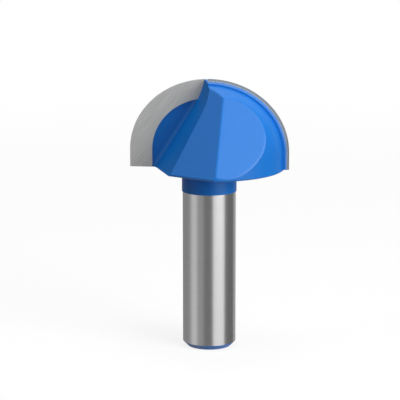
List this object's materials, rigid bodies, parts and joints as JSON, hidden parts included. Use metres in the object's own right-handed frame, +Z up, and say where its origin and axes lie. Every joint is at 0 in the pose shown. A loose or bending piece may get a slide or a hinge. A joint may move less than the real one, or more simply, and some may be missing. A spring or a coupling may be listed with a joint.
{
  "type": "router bit",
  "caption": "Round-nose router bit: a ground cylindrical shank, a painted steel head with milled chip gullets, and brazed carbide tips that cut a round-bottomed groove.",
  "frame": {"origin": "centre of the shank's flat end, on the surface that the bit stands on", "axes": "+Z up the bit's axis from the shank to the crown; the two wings lie along X, and the left one at -X faces its cutting face towards -Y"},
  "size_m": [0.0382, 0.0352, 0.0648],
  "materials": {
    "body": "smooth satin blue paint on the head, the neck and the end chamfer, bare ground steel on the shank",
    "carbide": "tungsten carbide, diamond ground",
    "braze": "silver solder, as set"
  },
  "bodies": {
    "root": {"bit_body": "body", "carbide_tip_left": "carbide", "carbide_tip_right": "carbide", "braze_left": "braze", "braze_right": "braze"}
  },
  "joints": []
}
